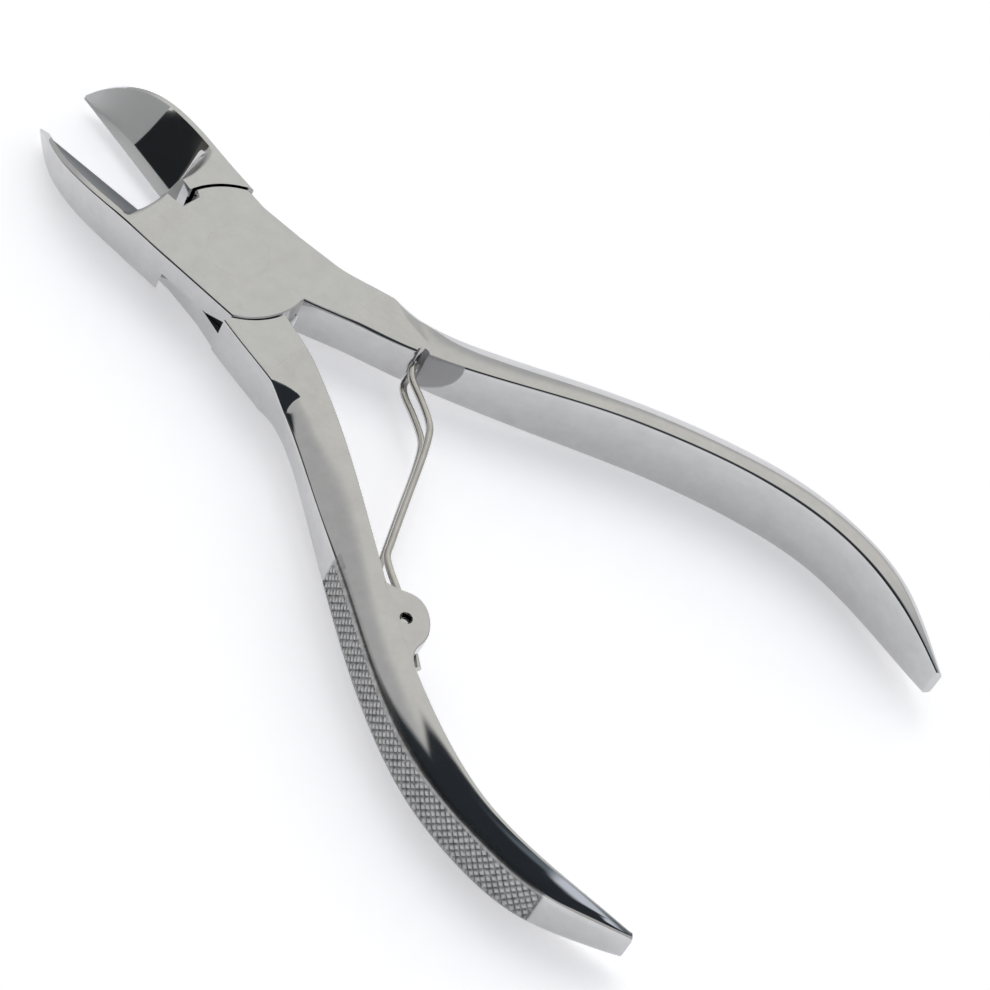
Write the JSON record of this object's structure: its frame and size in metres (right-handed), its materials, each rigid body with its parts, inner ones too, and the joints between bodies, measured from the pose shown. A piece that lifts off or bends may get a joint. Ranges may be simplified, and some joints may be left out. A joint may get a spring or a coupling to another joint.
{
  "type": "nail nipper",
  "caption": "Plier-type nail nipper with a lap joint, hollow-ground jaws, one knurled and one smooth bowed handle, and a bent wire return spring.",
  "frame": {"origin": "on the pivot axis, in the joint's flat underside", "axes": "+X along the tool from the pivot towards the handles, +Z along the pivot axis, up out of the joint's upper face"},
  "size_m": [0.1266, 0.0739, 0.01],
  "materials": {
    "polished_steel": "polished",
    "rivet_steel": "polished, ground flush",
    "spring_wire": "drawn wire",
    "pin_steel": "bright"
  },
  "bodies": {
    "lever_a": {"lever_a": "polished_steel", "joint_rivet": "rivet_steel"},
    "lever_b": {"lever_b": "polished_steel", "spring": "spring_wire", "spring_pin": "pin_steel"}
  },
  "joints": [
    {"name": "pivot", "type": "hinge", "parent": "lever_a", "child": "lever_b", "pos_m": [0, 0, 0], "axis": [0, 0, 1], "range_deg": [0, 15.2], "stiffness_Nm_per_rad": 2.2, "deforming": ["spring"]}
  ]
}
